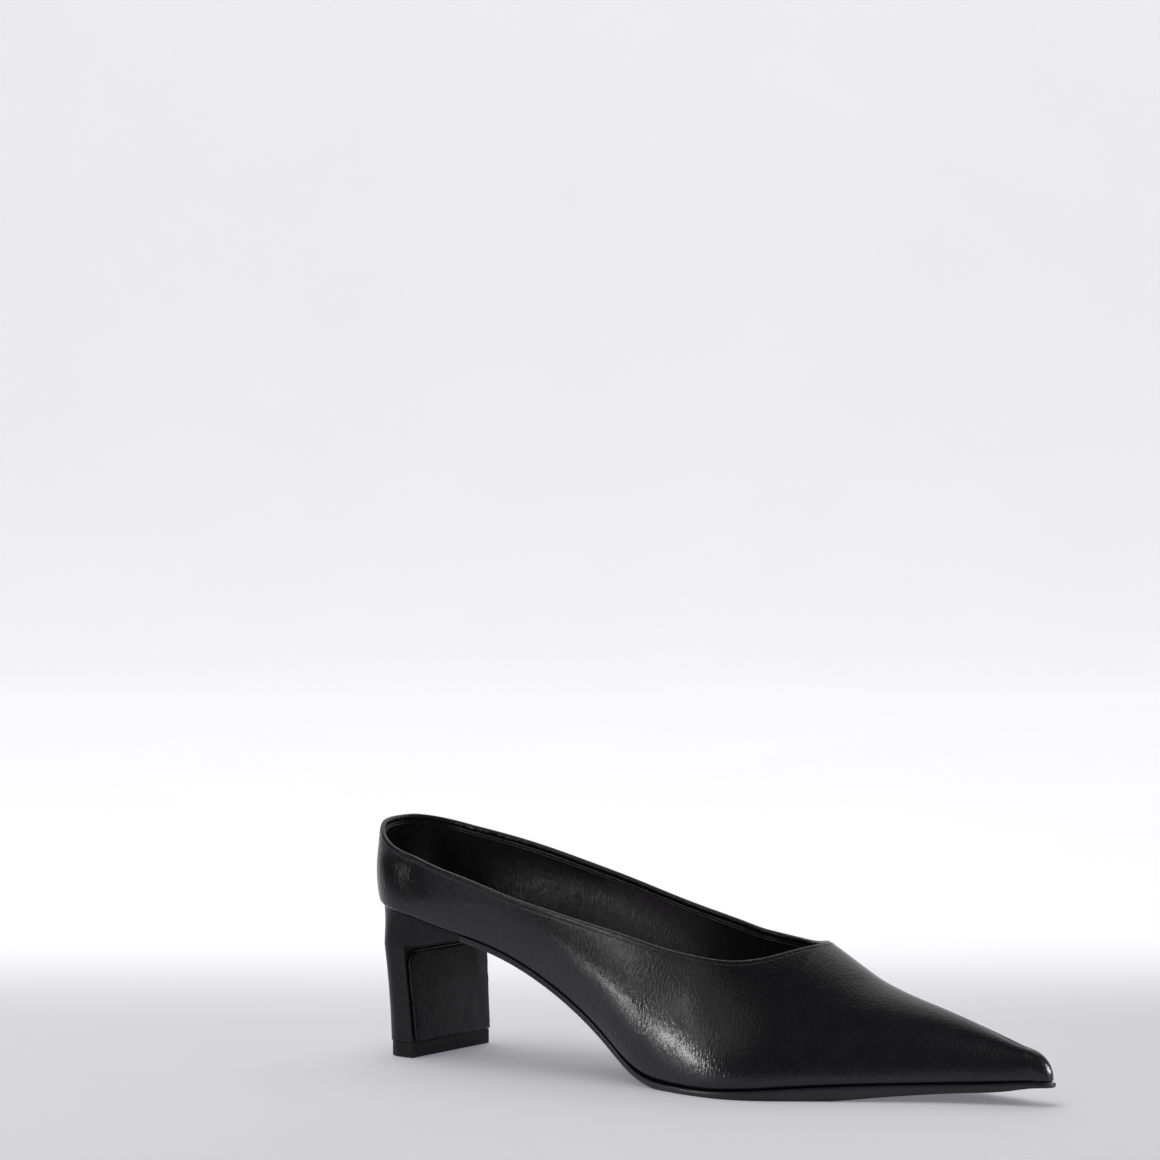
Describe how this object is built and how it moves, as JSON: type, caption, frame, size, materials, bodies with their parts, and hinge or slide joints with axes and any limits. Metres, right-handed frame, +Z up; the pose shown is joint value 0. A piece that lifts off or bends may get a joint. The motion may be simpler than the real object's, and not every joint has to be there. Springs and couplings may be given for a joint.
{
  "type": "pointed-toe mule",
  "caption": "Right-foot pointed-toe slip-on shoe in smooth black leather with a low closed back, an open instep and a wide slim block heel.",
  "frame": {"origin": "middle of the underside of the shoe's bounding box, on the floor", "axes": "+X from the heel to the toe, +Y to the inner (medial) side of the foot, +Z up"},
  "size_m": [0.263, 0.0792, 0.085],
  "materials": {
    "upper_leather": "smooth black nappa, satin gloss",
    "sole_leather": "black sole leather, edge inked",
    "sock_leather": "black lining leather, matt",
    "heel_leather": "black leather stretched over the heel block",
    "top_lift_rubber": "black, matt",
    "breast_leather": "black sole leather, matt"
  },
  "bodies": {
    "root": {"upper": "upper_leather", "outsole": "sole_leather", "insole": "sock_leather", "heel": "heel_leather", "top_lift": "top_lift_rubber", "breast_cover": "breast_leather"}
  },
  "joints": []
}
